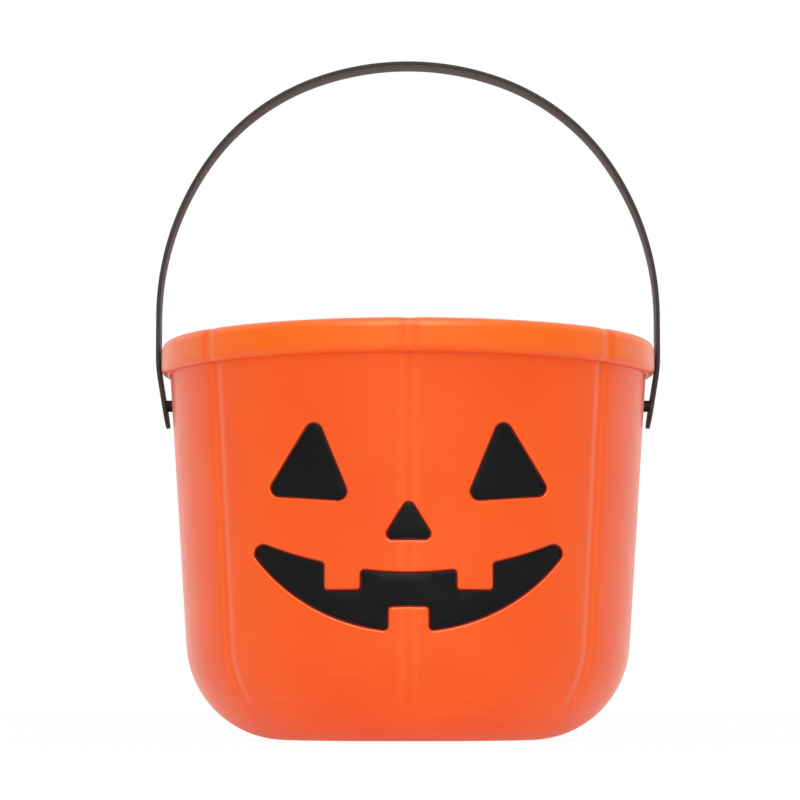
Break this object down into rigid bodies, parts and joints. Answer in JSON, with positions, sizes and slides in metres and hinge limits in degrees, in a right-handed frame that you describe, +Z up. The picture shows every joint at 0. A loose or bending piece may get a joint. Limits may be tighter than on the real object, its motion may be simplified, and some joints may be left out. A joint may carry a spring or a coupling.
{
  "type": "candy pail",
  "caption": "Round tapered candy pail with a pumpkin face in sunk black panels, shallow crease grooves, a turned-over lip and a strap handle that swings over.",
  "frame": {"origin": "middle of the base, on the surface that the pail stands on", "axes": "+Z up, -Y the way the face looks, X along the handle's hinge line"},
  "size_m": [0.183, 0.1791, 0.247],
  "materials": {
    "pail_plastic": "satin moulded orange polypropylene",
    "strap_plastic": "satin moulded black polypropylene",
    "inlay_film": "black self-adhesive film"
  },
  "bodies": {
    "pail": {"pail_shell": "pail_plastic", "eye_inlay_left": "inlay_film", "eye_inlay_right": "inlay_film", "nose_inlay": "inlay_film", "mouth_inlay": "inlay_film"},
    "handle": {"handle_strap": "strap_plastic"}
  },
  "joints": [
    {"name": "handle_swing", "type": "hinge", "parent": "pail", "child": "handle", "pos_m": [0, 0, 0.1208], "axis": [1, 0, 0], "range_deg": [-135, 135]}
  ]
}
